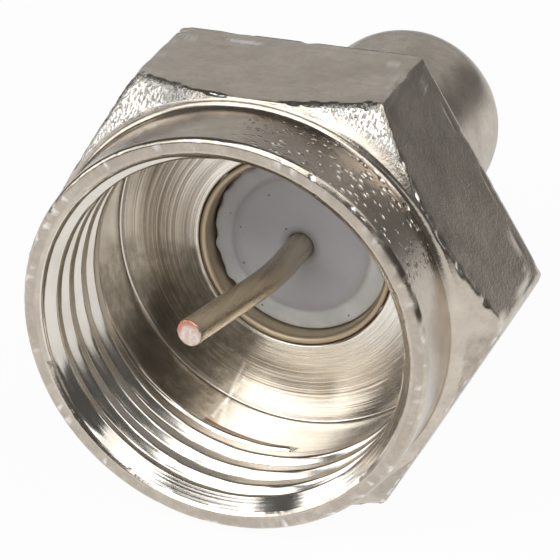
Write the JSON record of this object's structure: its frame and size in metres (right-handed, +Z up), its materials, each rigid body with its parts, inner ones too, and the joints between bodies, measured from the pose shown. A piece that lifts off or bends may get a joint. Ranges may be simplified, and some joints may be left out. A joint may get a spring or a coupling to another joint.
{
  "type": "f connector",
  "caption": "Plated coaxial plug: hexagonal coupling with a threaded collar, recessed insulator, bent contact pin and a slim closed rear sleeve.",
  "frame": {"origin": "centre of the footprint on the surface that the lower hex flat rests on", "axes": "+Y along the connector's axis from the mouth to the closed rear end, +Z up from the lower hex flat, +X to the right seen from the mouth"},
  "size_m": [0.0126, 0.0162, 0.011],
  "materials": {
    "plated_coupling": "nickel plated, worn and pitted",
    "plated_sleeve": "nickel plated, smooth",
    "insulator": "milky, slightly translucent",
    "tinned_copper": "tinned, copper at the cut end",
    "cap_steel": "tinned",
    "resistor_ceramic": "matt",
    "lacquer": "glossy lacquer",
    "solder": "bright solder"
  },
  "bodies": {
    "root": {"coupling": "plated_coupling", "sleeve": "plated_sleeve", "insulator": "insulator", "contact_pin": "tinned_copper", "resistor_cap_front": "cap_steel", "resistor_core": "resistor_ceramic", "resistor_coat": "lacquer", "resistor_cap_rear": "cap_steel", "rear_lead": "tinned_copper", "solder_joint": "solder"}
  },
  "joints": []
}
